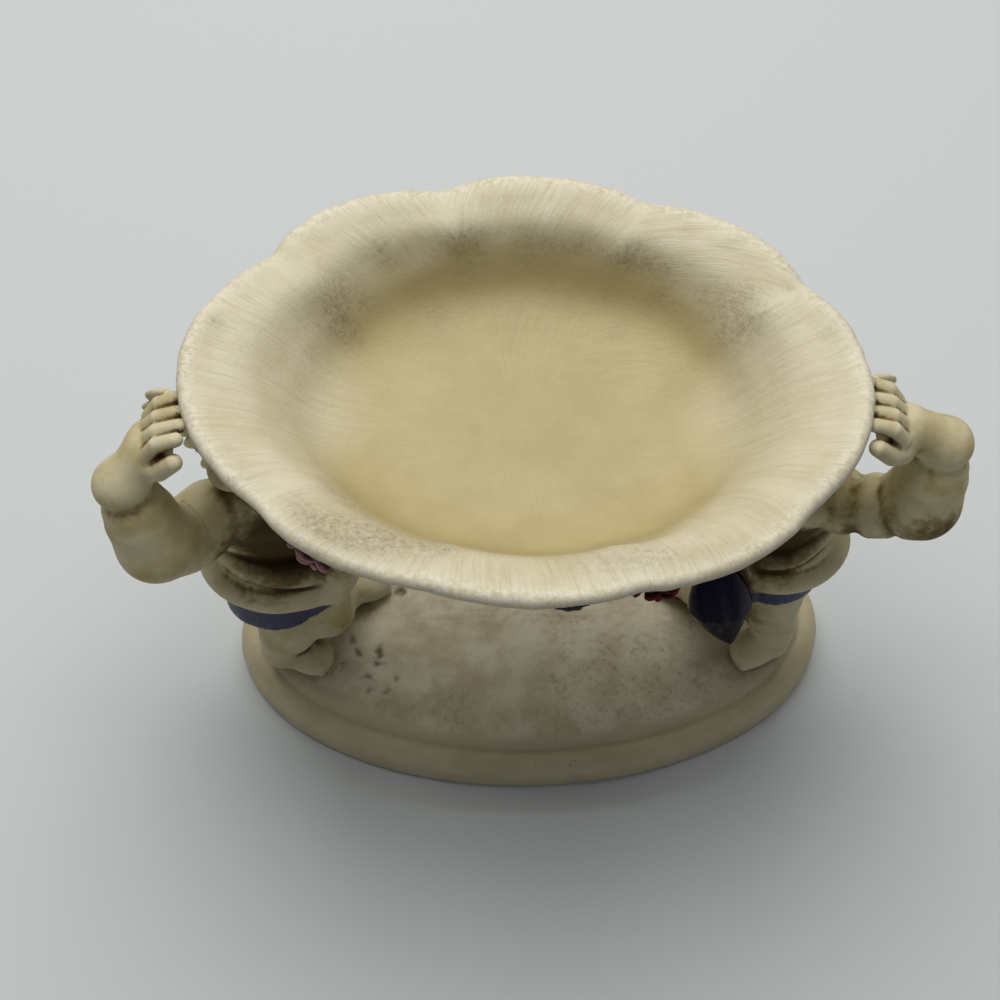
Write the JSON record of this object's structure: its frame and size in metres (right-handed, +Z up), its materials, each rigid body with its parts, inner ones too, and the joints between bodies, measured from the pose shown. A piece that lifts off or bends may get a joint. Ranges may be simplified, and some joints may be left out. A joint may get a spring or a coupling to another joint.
{
  "type": "cherub trinket dish",
  "caption": "Cream cast trinket dish: an oval scalloped bowl held up by cherubs standing on an oval plinth, with navy cloths and a swag of roses under the rim.",
  "frame": {"origin": "middle of the plinth's flat underside", "axes": "+Z up, X along the length of the dish and plinth, -Y towards the figures' fronts"},
  "size_m": [0.1657, 0.0921, 0.109],
  "materials": {
    "painted_cast": "satin"
  },
  "bodies": {
    "root": {"casting": "painted_cast"}
  },
  "joints": []
}
